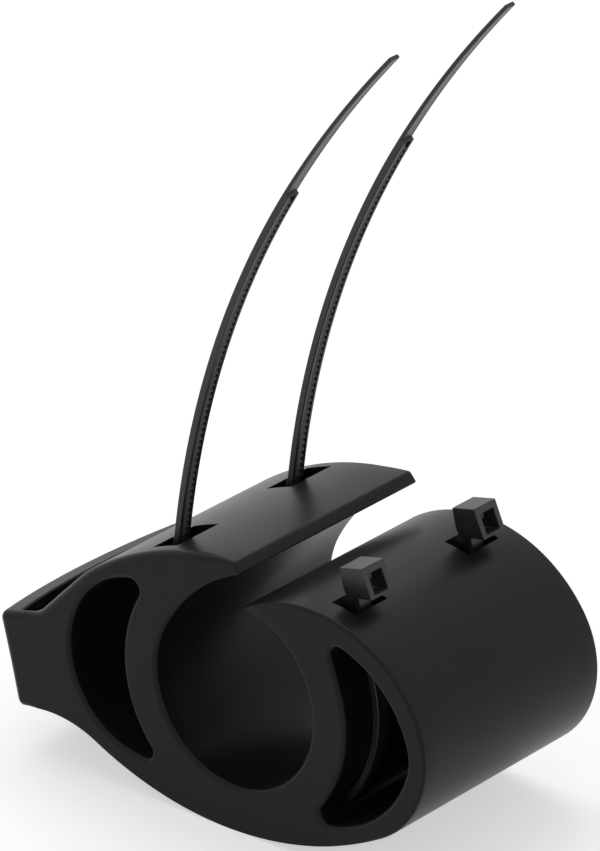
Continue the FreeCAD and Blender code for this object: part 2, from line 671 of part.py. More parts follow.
STRAP_RING = "Sizes.BoreRadius + Sizes.WebThickness + Sizes.StrapGap + Sizes.StrapThickness / 2"


def tie_route():
    """The strap from its head down into the lobe, round the bore and out at the dome."""
    neck_angle = size("NeckAngle")
    bend = size("StrapBend")
    exit_bend = size("ExitBend")
    exit_angle = size("ExitAngle")
    exit_centre = Vector(size("ExitX"), size("ExitZ"), 0) + polar(exit_angle + 90, exit_bend)
    reach = strap_ring + exit_bend
    leave_angle = math.degrees(heading(exit_centre) + math.acos(reach / exit_centre.Length))
    straight = math.sqrt(exit_centre.Length**2 - reach**2)
    low_angle = math.degrees(heading(right_bend))
    floor_angle = math.degrees(heading(right_bend - tunnel))

    foot = polar(neck_angle, strap_ring) + polar(neck_angle + 90, size("NeckLength"))
    route = Route(foot, neck_angle - 90)
    route.run(size("NeckLength"))
    route.arc_to(low_angle - 90, -strap_ring, STRAP_RING)
    route.arc_to(floor_angle - 90, -bend, "Sizes.StrapBend")
    route.arc_to(-floor_angle - 270, -size("TunnelRadius"), "Sizes.TunnelRadius")
    route.arc_to(-low_angle - 270, -bend, "Sizes.StrapBend")
    route.arc_to(leave_angle - 450, -strap_ring, STRAP_RING)
    route.run(straight)
    route.arc_to(exit_angle - 360, exit_bend, "Sizes.ExitBend")
    route.run(size("TailLength"), -size("TailRadius"), "Sizes.TailRadius")
    route.run(size("TipLength"), -size("TipRadius"), "Sizes.TipRadius")
    return route


def strap_outline(body, route):
    """The strap seen along the bore: its right face, its tip, its left face and its root.

    The right face steps in where the smooth, thin part of the tail begins.
    """
    half = size("StrapThickness") / 2
    thin = half - size("TipThickness")
    outline = Outline(body, "StrapSketch")
    *thick_runs, thin_run = route.pieces
    right = [route.trace(outline, piece, -half, "-Sizes.StrapThickness / 2") for piece in thick_runs]
    step = outline.line(route.place(thin_run[0], -half), route.place(thin_run[0], thin))
    tail = route.trace(outline, thin_run, thin, "Sizes.StrapThickness / 2 - Sizes.TipThickness")
    tip = outline.line(route.place(route.length, thin), route.place(route.length, half))
    left = []
    for piece in reversed(route.pieces):
        left.append(route.trace(outline, piece, half, "Sizes.StrapThickness / 2", back=True))
    root = outline.line(route.place(0, half), route.place(0, -half))
    outline.join(corners=[right[-1], step, tail, tip, left[-1], root])
    return outline.sketch


def tooth_gaps(body, route):
    """The recess between the rails on the right face, with its saw-tooth floor."""
    half = size("StrapThickness") / 2
    depth = size("ToothDepth")
    pitch = size("ToothPitch")
    above = size("StrapThickness")
    teeth = int((route.length - size("TipLength")) / pitch)
    points = []
    for tooth in range(2, teeth):
        points.append(route.place(tooth * pitch, depth - half))
        points.append(route.place((tooth + 1) * pitch, depth / 10 - half))
    for tooth in range(teeth, 1, -1):
        points.append(route.place(tooth * pitch, -above))
    return polygon(body, "ToothSketch", points)


def tip_taper(body, route):
    """What the tapering tail leaves off at one side, seen along X."""
    wide = size("StrapWidth") / 2
    narrow = size("TipWidth") / 2
    low = route.place(route.length - size("TipLength")).y
    high = route.place(route.length, size("StrapThickness")).y
    points = [
        Vector(wide, low, 0),
        Vector(2 * wide, low, 0),
        Vector(2 * wide, high, 0),
        Vector(narrow, high, 0),
    ]
    return polygon(body, "TaperSketch", points, "YZ_Plane")


class HeadFrame:
    """The head's own directions: across it away from the bore, and up along the strap."""

    def __init__(self, route):
        self.foot = route.place(0)
        self.angle = size("NeckAngle")

    def point(self, across, up):
        return self.foot + polar(self.angle, across) + polar(self.angle + 90, up)


def shoulder_wedge(body, frame):
    """What the sloping shoulder leaves off at one side, seen along its upper edge."""
    back = size("HeadBack")
    top = frame.point(-back, size("ShoulderHeight"))
    fall = frame.point(-back, 0) - top
    along = (frame.point(size("HeadFoot"), 0) - top).normalize()
    drop = (fall - along * fall.dot(along)).Length
    wide = size("HeadWidth") / 2
    turn = Rotation(Vector(0, 1, 0), 90 - math.degrees(heading(along)))
    offset = Placement(Vector(top.x, 0, top.y), turn)
    points = [
        Vector(0, wide, 0),
        Vector(drop, size("StrapWidth") / 2, 0),
        Vector(drop, wide + drop, 0),
        Vector(0, wide + drop, 0),
    ]
    return polygon(body, "ShoulderSketch", points, "XY_Plane", offset)


def cable_tie(name, label, where):
    """One cable tie, threaded through the body at a place along the bore."""
    route = tie_route()
    tie = doc.addObject("PartDesign::Body", name)
    tie.Label = label
    strap = pad(tie, "StrapPad", strap_outline(tie, route), "Sizes.StrapWidth")
    teeth = pocket(tie, "TeethPocket", tooth_gaps(tie, route), "Sizes.ToothWidth")
    taper = pocket(tie, "TaperPocket", tip_taper(tie, route), "2 * Sizes.TipLength")
    mirrored(tie, "TaperMirror", taper)

    frame = HeadFrame(route)
    back = size("HeadBack")
    high = size("HeadHeight")
    corners = [(-back, 0), (size("HeadFoot"), 0), (size("HeadFront"), high), (-back, high)]
    head_sketch = polygon(tie, "HeadSketch", [frame.point(*corner) for corner in corners])
    head = pad(tie, "HeadPad", head_sketch, "Sizes.HeadWidth")
    shoulder = pocket(tie, "ShoulderPocket", shoulder_wedge(tie, frame), "4 * Sizes.HeadFoot")
    mirrored(tie, "ShoulderMirror", shoulder)
    low = size("WindowLow")
    top = size("WindowHigh")
    far = 2 * size("HeadFoot")
    corners = [(-2 * back, low), (far, low), (far, top), (-2 * back, top)]
    window_sketch = polygon(tie, "WindowSketch", [frame.point(*corner) for corner in corners])
    window = pocket(tie, "WindowPocket", window_sketch, "Sizes.WindowWidth")
    thick = size("PawlThickness")
    root = size("HeadFront") / 2
    upper = top + thick / 4
    lower = low + thick
    corners = [(root + thick, upper), (root, upper), (0, lower), (thick / 2, lower)]
    pawl_sketch = polygon(tie, "PawlSketch", [frame.point(*corner) for corner in corners])
    pad(tie, "PawlPad", pawl_sketch, "Sizes.PawlWidth")
    tie.setExpression("Placement.Base.y", where)
    check(label)
    return tie


ties = [
    cable_tie("FrontTie", "front_cable_tie", f"-({TIE_PLACE})"),
    cable_tie("RearTie", "rear_cable_tie", TIE_PLACE),
]
os.makedirs("parts", exist_ok=True)
for piece in [holder, *ties]:
    piece.Shape.exportStep(f"parts/{piece.Label}.step")
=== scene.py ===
import math

import bpy
import bmesh
import numpy as np
from mathutils import Matrix, Vector


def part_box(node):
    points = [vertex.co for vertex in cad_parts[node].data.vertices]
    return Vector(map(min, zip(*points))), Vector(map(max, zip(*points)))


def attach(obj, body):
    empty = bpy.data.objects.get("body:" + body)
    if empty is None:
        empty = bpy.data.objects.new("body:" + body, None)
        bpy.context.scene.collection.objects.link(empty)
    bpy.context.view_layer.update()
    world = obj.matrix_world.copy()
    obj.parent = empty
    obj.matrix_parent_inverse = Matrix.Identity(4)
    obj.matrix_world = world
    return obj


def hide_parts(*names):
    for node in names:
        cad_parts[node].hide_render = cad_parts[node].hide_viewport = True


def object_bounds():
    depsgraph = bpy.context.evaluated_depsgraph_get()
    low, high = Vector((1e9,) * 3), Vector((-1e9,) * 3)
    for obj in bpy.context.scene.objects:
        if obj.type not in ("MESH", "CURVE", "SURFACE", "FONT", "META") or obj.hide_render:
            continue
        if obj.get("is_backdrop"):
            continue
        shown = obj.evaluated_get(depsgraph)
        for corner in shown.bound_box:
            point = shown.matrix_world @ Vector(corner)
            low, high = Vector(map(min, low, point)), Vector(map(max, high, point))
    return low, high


bl_info = {
    "name": "Handlebar smartwatch holder",
    "version": (1, 0, 0),
    "blender": (4, 5, 0),
    "location": "View3D > Sidebar > Watch holder",
    "description": "Models a moulded rubber handlebar holder and its two cable ties",
    "category": "Object",
}

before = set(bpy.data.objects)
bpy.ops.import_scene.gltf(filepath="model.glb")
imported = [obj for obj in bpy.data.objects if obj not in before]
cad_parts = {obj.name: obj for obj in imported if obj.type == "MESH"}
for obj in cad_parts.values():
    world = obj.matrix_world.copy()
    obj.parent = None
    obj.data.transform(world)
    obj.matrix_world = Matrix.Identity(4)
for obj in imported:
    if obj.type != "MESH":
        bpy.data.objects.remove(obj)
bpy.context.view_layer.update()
BODY = "root"
# The photograph's height in pixels, and the camera's sensor in millimetres
PHOTO_HEIGHT = 851
SENSOR = 36.0
# Metres: a step too small to see, which keeps two surfaces from falling together
HAIR = 0.00001
FLOOR_SIZE = 6.0
LAMP_PLACE = (-0.35, 0.25, 0.9)
LAMP_TARGET = (0.0, 0.0, 0.02)
LAMP_SIZE = 0.8


class Socket:
    """A shader socket whose arithmetic adds Math nodes."""

    def __init__(self, tree, link):
        self.tree = tree
        self.link = link

    def maths(self, operation, *values):
        return self.tree.node("ShaderNodeMath", {"operation": operation}, dict(enumerate(values)))

    def __add__(self, other):
        return self.maths("ADD", self, other)

    def __radd__(self, other):
        return self.maths("ADD", other, self)

    def __sub__(self, other):
        return self.maths("SUBTRACT", self, other)

    def __rsub__(self, other):
        return self.maths("SUBTRACT", other, self)

    def __mul__(self, other):
        return self.maths("MULTIPLY", self, other)

    def __rmul__(self, other):
        return self.maths("MULTIPLY", other, self)

    def or_more(self, other):
        """The larger of two values."""
        return self.maths("MAXIMUM", self, other)


class ShaderTree:
    """A tree of shader nodes, filled by Python expressions."""

    def __init__(self, owner):
        self.owner = owner
        owner.use_nodes = True
        self.nodes = owner.node_tree.nodes
        self.links = owner.node_tree.links

    def node(self, kind, settings, values, output=0):
        """Add a node: its settings first, then values or links of its sockets."""
        node = self.nodes.new(kind)
        for name, value in settings.items():
            setattr(node, name, value)
        for name, value in values.items():
            self.feed(node.inputs[name], value)
        return Socket(self, node.outputs[output])

    def feed(self, socket, value):
        """Link a socket, or set it where the value is constant."""
        if isinstance(value, Socket):
            self.links.new(value.link, socket)
        else:
            socket.default_value = value

    def mix_colours(self, factor, first, second):
        """A colour between two, by the colour sockets 6 and 7 and output 2 of a Mix node."""
        return self.node("ShaderNodeMix", {"data_type": "RGBA"}, {"Factor": factor, 6: first, 7: second}, 2)

    def place(self):
        """Where a point is on the object, in metres."""
        return self.node("ShaderNodeTexCoord", {}, {}, "Object")

    def noise(self, place, width, detail=2.0, roughness=0.5):
        """A cloudy value round 0.5, its clouds about a width across."""
        return self.node(
            "ShaderNodeTexNoise",
            {"noise_dimensions": "3D"},
            {"Vector": place, "Scale": 1 / width, "Detail": detail, "Roughness": roughness},
            "Fac",
        )

    def seen(self):
        """1 for what the camera sees, also in a reflection or through a clear piece, and 0 for light."""
        camera, glossy, clear = (
            self.node("ShaderNodeLightPath", {}, {}, kind)
            for kind in ("Is Camera Ray", "Is Glossy Ray", "Is Transmission Ray")
        )
        return camera.or_more(glossy).or_more(clear)

    def finish(self, shader, **values):
        """Feed a shader's sockets, named with underscores for spaces."""
        for name, value in values.items():
            self.feed(self.nodes[shader].inputs[name.replace("_", " ")], value)
        return self.owner


def grey(value):
    """A neutral colour of a linear value."""
    return (value, value, value, 1.0)


def length(name, description, millimetres):
    """A length that can be changed, given in millimetres."""
    return bpy.props.FloatProperty(
        name=name,
        description=description,
        default=millimetres / 1000,
        subtype="DISTANCE",
        unit="LENGTH",
        precision=5,
    )


def angle(name, description, degrees):
    """An angle that can be changed, given in degrees."""
    return bpy.props.FloatProperty(
        name=name, description=description, default=math.radians(degrees), subtype="ANGLE"
    )


class BodySizes(bpy.types.PropertyGroup):
    """Sizes of the moulded body. X and Z are measured from the axis of the bore."""

    depth: length("Depth", "Length of the body along the handlebar", 40.4)
    bore_radius: length("Bore radius", "Relaxed bore round the handlebar", 14.3)
    jaw_angle: angle("Jaw angle", "Where the bore ends at the sharp jaw, from +X", 83.93)
    jaw_radius: length("Jaw radius", "Top of the sharp jaw", 22.11)
    lobe_x: length("Lobe X", "Centre of the round lobe", 19.135)
    lobe_z: length("Lobe Z", "Centre of the round lobe", -0.575)
    lobe_radius: length("Lobe radius", "Outside of the round lobe", 15.67)
    belly_x: length("Belly X", "Centre of the long underside curve", -0.82)
    belly_radius: length("Belly radius", "Long underside curve", 56.28)
    hollow_x: length("Hollow X", "Centre of the hollow under the end block", -34.425)
    hollow_radius: length("Hollow radius", "Hollow under the end block", 19.3)
    dome_x: length("Dome X", "Centre of the dome curve", 1.706)
    dome_top: length("Dome top", "Highest point of the dome curve", 21.06)
    dome_radius: length("Dome radius", "Dome curve", 48.147)
    flank_x: length("Flank X", "Centre of the flank curve", -15.579)
    flank_radius: length("Flank radius", "Curve between ramp and dome", 19.171)
    lip_x: length("Lip X", "Middle of the upper jaw's slanted end face", 0.95)
    lip_z: length("Lip Z", "Middle of the upper jaw's slanted end face", 20.2)
    lip_lean: angle("Lip lean", "Direction that the end face looks, above +X", 31.0)
    lip_face: length("Lip face", "Bulge radius of that face, almost flat", 20.0)
    lip_crease: length("Lip crease", "Soft edge between the dome and the lip's face", 0.7)
    lip_sharp: length("Lip sharp", "Crisp lower edge of the lip's face", 0.3)
    lip_under_x: length("Lip under X", "Centre of the curve under the upper jaw", 11.705)
    lip_under_radius: length("Lip under radius", "Curve under the upper jaw", 27.5)
    ramp_angle: angle("Ramp angle", "Slope of the ramp from the shelf to the flank", 45.6)
    bend_radius: length("Bend radius", "Hollow between shelf and ramp", 5.4)
    end_tilt: angle("End tilt", "Lean of the end face from upright", 14.15)
    end_x: length("End X", "Corner of end face and shelf at half depth", -46.66)
    end_z: length("End Z", "Corner of end face and shelf at half depth", -0.88)
    end_bow: length("End bow", "Plan radius of the bowed end face", 87.35)
    end_corner: length("End corner", "Round between the end face and the shelf", 1.2)
    low_corner: length("Low corner", "Round between the end face and the hollow", 1.15)
    web: length("Web", "Ring of material round the bore", 6.2)
    left_x: length("Left cavity X", "Centre of the left cavity's outer wall", -16.66)
    left_z: length("Left cavity Z", "Centre of the left cavity's outer wall", -1.28)
    left_radius: length("Left cavity radius", "Outer wall of the left cavity", 14.0)
    left_top_round: length("Left top round", "Rounded upper end of the left cavity", 1.5)
    left_low_round: length("Left low round", "Rounded lower end of the left cavity", 1.2)
    right_x: length("Right cavity X", "Centre of both outer walls of the right cavity", 14.62)
    right_z: length("Right cavity Z", "Height between those centres", -0.65)
    right_spread: length("Right cavity spread", "From there down and up to the centres", 2.73)
    right_radius: length("Right cavity radius", "Outer walls of the right cavity", 17.35)
    right_bend: length("Right cavity bend", "Round where the two outer walls meet", 7.2)
    right_top_x: length("Right cavity top X", "Centre of the upper rounded end", 19.2)
    right_low_x: length("Right cavity low X", "Centre of the lower rounded end", 17.4)
    right_top_round: length("Right top round", "Rounded upper end of the right cavity", 1.5)
    right_low_round: length("Right low round", "Rounded lower end of the right cavity", 1.5)
    pocket_end_wall: length("Pocket end wall", "Wall between the pocket and the end face", 3.7)
    pocket_wall: length("Pocket wall", "Walls in front of and behind the pocket", 1.5)
    pocket_length: length("Pocket length", "Pocket, square to the end face", 8.7)
    pocket_depth: length("Pocket depth", "Pocket, down from the shelf", 9.5)
    tie_inset: length("Tie inset", "From the front and back faces to the ties", 7.4)
    dome_slot_left: length("Dome slot left", "Edge of the dome slots", -17.0)
    dome_slot_right: length("Dome slot right", "Edge of the dome slots", -12.4)
    dome_slot_width: length("Dome slot width", "Dome slots along the bore", 9.3)
    lobe_slot_left: length("Lobe slot left", "Edge of the lobe slots", 15.0)
    lobe_slot_right: length("Lobe slot right", "Edge of the lobe slots", 19.4)
    lobe_slot_width: length("Lobe slot width", "Lobe slots and tunnels along the bore", 7.1)
    tunnel_clearance: length("Tunnel clearance", "Tunnel below the strap", 0.9)
    top_round: length("Top round", "Rounded front and back edges of the end, shelf, flank and dome", 1.15)
    lip_edge: length("Lip edge", "Rounded front and back edges of the lip", 0.65)
    bore_edge: length("Bore edge", "Rounded ends of the bore and of the cavities", 0.8)
    jaw_edge: length("Jaw edge", "Rounded front and back edges of the jaw and the lobe", 0.5)
    belly_edge: length("Belly edge", "Rounded front and back edges of the belly and the hollow", 0.12)
    rim_edge: length("Rim edge", "Rounded rim of the pocket", 0.35)


class TieSizes(bpy.types.PropertyGroup):
    """Sizes of the cable ties and of the way that they are threaded."""

    width: length("Width", "Strap along the bore", 2.5)
    thickness: length("Thickness", "Strap", 1.1)
    gap: length("Gap", "Between strap and ring", 0.1)
    bend: length("Bend", "Tight bends at the tunnel's ends", 8.0)
    tunnel_radius: length("Tunnel radius", "Curve of the strap under the bore", 45.0)
    tunnel_depth: length("Tunnel depth", "Strap centre under the bore axis", 17.9)
    neck_angle: angle("Neck angle", "Where the strap leaves the ring for the head", 13.0)
    neck_length: length("Neck length", "Straight run from the ring to the head", 14.3)
    exit_x: length("Exit X", "Strap centre in the dome slot", -14.9)
    exit_z: length("Exit Z", "Strap centre in the dome slot", 18.9)
    exit_angle: angle("Exit angle", "Direction of the strap in the dome slot", 83.1)
    exit_bend: length("Exit bend", "Bend below the dome slot", 12.0)
    tail_radius: length("Tail radius", "Lower, tighter curve of the tail", 143.0)
    tail_length: length("Tail length", "Lower curve of the tail, with teeth", 61.5)
    tip_radius: length("Tip radius", "Upper, flatter curve of the tail", 167.0)
    tip_length: length("Tip length", "Upper curve of the tail, smooth and thin", 30.5)
    tip_width: length("Tip width", "Width of the tail's end", 1.9)
    tip_thickness: length("Tip thickness", "Smooth part of the tail", 0.6)
    tooth_pitch: length("Tooth pitch", "Ratchet teeth", 1.05)
    tooth_depth: length("Tooth depth", "Ratchet teeth", 0.5)
    tooth_width: length("Tooth width", "Toothed band between the strap's rails", 1.5)
    head_width: length("Head width", "Head along the bore", 4.95)
    head_height: length("Head height", "Head along the strap", 4.6)
    head_back: length("Head back", "Head behind the strap's centre", 1.0)
    head_front: length("Head front", "Head before the strap's centre, at its top", 3.1)
    head_foot: length("Head foot", "Head before the strap's centre, at its foot", 4.0)
    shoulder: length("Shoulder", "Height of the foot at the back of the head's sides", 1.8)
    window_width: length("Window width", "Opening through the head", 3.0)
    window_low: length("Window low", "Lower edge of the opening", 0.45)
    window_high: length("Window high", "Upper edge of the opening", 3.55)
    pawl_width: length("Pawl width", "Ratchet tongue in the opening", 2.2)
    pawl_thickness: length("Pawl thickness", "Ratchet tongue in the opening", 0.8)
    head_drift: length("Head drift", "How far the heads sit along the bore from the slots' middle", 0.13)
    tail_drift: length("Tail drift", "How far the tails sit along the bore from the slots' middle", -0.44)
    edge: length("Edge", "Bevelled edges of the strap", 0.12)
    head_edge: length("Head edge", "Bevelled edges of the head", 0.08)


class HolderFinish(bpy.types.PropertyGroup):
    """Colours and grain of the two materials."""

    rubber_grey: bpy.props.FloatProperty(
        name="Rubber grey", description="Linear colour of the moulded rubber", default=0.009, min=0, max=1
    )
    rubber_roughness: bpy.props.FloatProperty(
        name="Rubber roughness", description="Roughness of the moulded rubber", default=0.34, min=0, max=1
    )
    rubber_ior: bpy.props.FloatProperty(
        name="Rubber IOR", description="How strongly the rubber reflects", default=1.25, min=1, max=2
    )
    grain_size: length("Grain size", "Width of the mould's fine grain", 0.35)
    cloud_size: length("Cloud size", "Width of the rubber's uneven sheen", 8.0)
    flow_size: length("Flow size", "Width of the flow marks in the nylon", 2.2)
    bump_height: length("Bump height", "Height of the grain and of the flow marks", 0.03)
    nylon_grey: bpy.props.FloatProperty(
        name="Nylon grey", description="Linear colour of the cable ties", default=0.022, min=0, max=1
    )
    nylon_roughness: bpy.props.FloatProperty(
        name="Nylon roughness", description="Roughness of the cable ties", default=0.36, min=0, max=1
    )
    nylon_ior: bpy.props.FloatProperty(
        name="Nylon IOR", description="How strongly the nylon reflects", default=1.45, min=1, max=2
    )


class StageSettings(bpy.types.PropertyGroup):
    """The camera of the photograph, found from its perspective, and the light."""

    azimuth: angle("Azimuth", "Turn of the camera about the upright axis from straight ahead", 39.2)
    elevation: angle("Elevation", "Height of the camera as an angle", 24.39)
    distance: length("Distance", "Depth of the bore's near end in front of the camera", 1033.9)
    lens: bpy.props.FloatProperty(
        name="Lens", description="Focal length in millimetres on a 36 mm frame height", default=307.5
    )
    bore_across: bpy.props.FloatProperty(
        name="Bore across",
        description="Sideways place of the bore's near end, in photograph pixels from the middle",
        default=-67.76,
    )
    bore_up: bpy.props.FloatProperty(
        name="Bore up",
        description="Upward place of the bore's near end, in photograph pixels from the middle",
        default=-270.34,
    )
    lamp_power: bpy.props.FloatProperty(
        name="Lamp power", description="Power of the soft lamp above", default=3.0, min=0, unit="POWER"
    )
    fill: bpy.props.FloatProperty(
        name="Fill", description="Brightness of the even light from all round", default=0.35, min=0
    )
    floor_grey: bpy.props.FloatProperty(
        name="Floor grey", description="Linear colour of the floor", default=0.8, min=0, max=1
    )
    floor_lift: bpy.props.FloatProperty(
        name="Floor lift", description="What is added to the floor where it is seen", default=0.55, min=0
    )


def polar(direction, reach=1.0):
    """Points in the XZ plane: reach times cosine and sine of their directions."""
    direction, reach = np.broadcast_arrays(direction, reach)
    return np.stack([reach * np.cos(direction), reach * np.sin(direction)], axis=-1)


def heading(vector):
    """The direction of a vector, from its arc tangent."""
    return np.arctan2(vector[..., 1], vector[..., 0])


def span(vector):
    """The length of a vector."""
    return np.linalg.norm(vector, axis=-1)


def toward(start, end, reach):
    """The point at a length from start in the direction of end."""
    return start + (end - start) / span(end - start)[..., None] * reach


def crossing(first, first_radius, second, second_radius, side):
    """Where two circles cross: side 1 is left of the line from first to second, -1 right."""
    apart = span(second - first)
    along = (apart**2 + first_radius**2 - second_radius**2) / (2 * apart)
    across = np.sqrt(first_radius**2 - along**2)
    axis = (second - first) / apart
    left = np.array([-axis[1], axis[0]])
    return first + np.multiply.outer(along, axis) + np.multiply.outer(across, left) * side


class Rows:
    """The rows of a moulded form from its front to its back.

    Near each end a row's inset follows a quarter circle: round * (1 - sine of a),
    at a depth of round * (1 - cosine of a), with a from 0 to 90 degrees.
    """

    def __init__(self, steps, middle):
        quarter = np.linspace(0, math.pi / 2, steps + 1)
        between = np.linspace(-1, 1, middle + 2)[1:-1]
        flat = np.ones(middle)
        depth = 1 - np.cos(quarter)
        inset = 1 - np.sin(quarter)
        self.side = np.concatenate([-np.ones(steps + 1), between, np.ones(steps + 1)])
        self.depth = np.concatenate([depth, flat, depth[::-1]])
        self.inset = np.concatenate([inset, 0 * flat, inset[::-1]])

    def place(self, half, edge):
        """Y of each row, for rounds of some sizes and half the form's depth."""
        return self.side[:, None] * (half - self.depth[:, None] * edge)


class Outline:
    """A closed outline for each row: lines and arcs that follow each other clockwise.

    Each point is moved inwards by its edge's round times the row's inset.
    """

    def __init__(self, inset):
        self.inset = np.asarray(inset)
        self.points = []
        self.edges = []

    def keep(self, points, edge):
        self.points.append(points[:, :-1])
        self.edges.append(edge[:-1])

    def line(self, start, end, normal, edge, count=12):
        """Straight from start to end: start + t * (end - start)."""
        share = np.linspace(0, 1, count + 1)
        edge = np.interp(share, *edge) if isinstance(edge, tuple) else np.full(count + 1, edge)
        rows = len(self.inset)
        start = np.broadcast_to(start, (rows, 2))
        end = np.broadcast_to(end, (rows, 2))
        points = start[:, None] + (end - start)[:, None] * share[:, None]
        self.keep(points - normal * (self.inset[:, None] * edge)[..., None], edge)

    def arc(self, centre, radius, start, end, turn, edge, count=16):
        """Centre + radius * (cosine, sine) of an angle between the directions of start and end.

        Turn 1 runs anticlockwise, round a hollow, and -1 clockwise, round a bulge.
        """
        share = np.linspace(0, 1, count + 1)
        edge = np.interp(share, *edge) if isinstance(edge, tuple) else np.full(count + 1, edge)
        rows = len(self.inset)
        first = np.broadcast_to(heading(start - centre), rows)
        sweep = (turn * (heading(end - centre) - first)) % (2 * math.pi) * turn
        angles = first[:, None] + sweep[:, None] * share
        reach = radius + turn * self.inset[:, None] * edge
        centres = np.broadcast_to(centre, (rows, 2))[:, None]
        self.keep(centres + polar(angles, reach), edge)

    def all(self):
        return np.concatenate(self.points, axis=1), np.concatenate(self.edges)


def standing(flat, place):
    """Points of the XZ plane set at their Y."""
    place = np.broadcast_to(place, flat.shape[:-1])
    return np.stack([flat[..., 0], place, flat[..., 1]], axis=-1)


def skin(rings, looped=False):
    """Points and faces of a skin over closed rings that follow each other.

    Looped rings close on each other, as a frame does, and others end in flat faces. All are
    turned over where the skin's volume, a sum of triple products, is negative.
    """
    rows, count = rings.shape[:2]
    index = np.arange(rows * count).reshape(rows, count)
    beside = np.roll(index, -1, axis=1)
    quads = np.stack([index, beside, np.roll(beside, -1, axis=0), np.roll(index, -1, axis=0)], axis=-1)
    quads = (quads if looped else quads[:-1]).reshape(-1, 4)
    ends = [] if looped else [index[0][::-1], index[-1]]
    points = rings.reshape(-1, 3)
    a, b, c, d = (points[quads[:, corner]] - points.mean(axis=0) for corner in range(4))
    volume = np.einsum("ij,ij->", a, np.cross(b, c)) + np.einsum("ij,ij->", a, np.cross(c, d))
    if volume < 0:
        quads = quads[:, ::-1]
        ends = [end[::-1] for end in ends]
    return points, quads.tolist() + [end.tolist() for end in ends]


def solid(name, *shells):
    """An object of one or more closed shells, each with its points and faces."""
    points = np.concatenate([shell[0] for shell in shells])
    starts = np.cumsum([0] + [len(shell[0]) for shell in shells[:-1]])
    faces = [
        [corner + int(start) for corner in face]
        for start, shell in zip(starts, shells)
        for face in shell[1]
    ]
    mesh = bpy.data.meshes.new(name)
    mesh.from_pydata(points, [], faces)
    mesh.update()
    thing = bpy.data.objects.new(name, mesh)
    bpy.context.scene.collection.objects.link(thing)
    return thing


def settle(thing):
    """Apply an object's modifiers to its mesh."""
    graph = bpy.context.evaluated_depsgraph_get()
    mesh = bpy.data.meshes.new_from_object(thing.evaluated_get(graph))
    thing.modifiers.clear()
    thing.data = mesh


def cut(thing, cutter):
    """Take one closed form out of another."""
    modifier = thing.modifiers.new("cut", "BOOLEAN")
    modifier.operation = "DIFFERENCE"
    modifier.solver = "EXACT"
    modifier.object = cutter
    settle(thing)
    bpy.data.objects.remove(cutter)


def shade(mesh, flat_y, sharp=math.radians(35), square=0.9995):
    """Smooth the mesh, apart from its edges over an angle and, with flat_y, faces square to the bore."""
    mesh.shade_smooth()
    mesh.set_sharp_from_angle(angle=sharp)
    if flat_y:
        normals = np.empty(len(mesh.polygons) * 3, dtype=np.float32)
        mesh.polygons.foreach_get("normal", normals)
        mesh.polygons.foreach_set("use_smooth", np.abs(normals[1::3]) < square)
    mesh.update()


class BodyPlaces:
    """Centres of the body's curves, from its sizes."""

    def __init__(self, s):
        self.origin = np.zeros(2)
        self.ring = s.bore_radius + s.web
        self.lobe = np.array([s.lobe_x, s.lobe_z])
        drop = s.lobe_x - s.belly_x
        rise = math.sqrt((s.belly_radius - s.lobe_radius) ** 2 - drop**2)
        self.belly = np.array([s.belly_x, s.lobe_z + rise])
        self.jaw = polar(s.jaw_angle, s.bore_radius)
        self.jaw_top = crossing(self.jaw, s.jaw_radius, self.lobe, s.jaw_radius - s.lobe_radius, -1)
        self.dome = np.array([s.dome_x, s.dome_top - s.dome_radius])
        rise = math.sqrt((s.dome_radius - s.flank_radius) ** 2 - (s.flank_x - s.dome_x) ** 2)
        self.flank = np.array([s.flank_x, self.dome[1] + rise])
        self.end_up = polar(math.pi / 2 + s.end_tilt)
        self.shelf_along = polar(s.end_tilt)
        self.corner = np.array([s.end_x, s.end_z])
        drop = math.sqrt((s.belly_radius + s.hollow_radius) ** 2 - (s.hollow_x - s.belly_x) ** 2)
        self.hollow = np.array([s.hollow_x, self.belly[1] - drop])
        drop = math.sqrt((s.lip_under_radius - s.bore_radius) ** 2 - s.lip_under_x**2)
        self.under = np.array([s.lip_under_x, -drop])
        self.lip_face = np.array([s.lip_x, s.lip_z]) - polar(s.lip_lean, s.lip_face)
        self.lip_high = crossing(
            self.dome, s.dome_radius - s.lip_crease, self.lip_face, s.lip_face - s.lip_crease, -1
        )
        self.lip_low = crossing(
            self.under, s.lip_under_radius + s.lip_sharp, self.lip_face, s.lip_face - s.lip_sharp, -1
        )


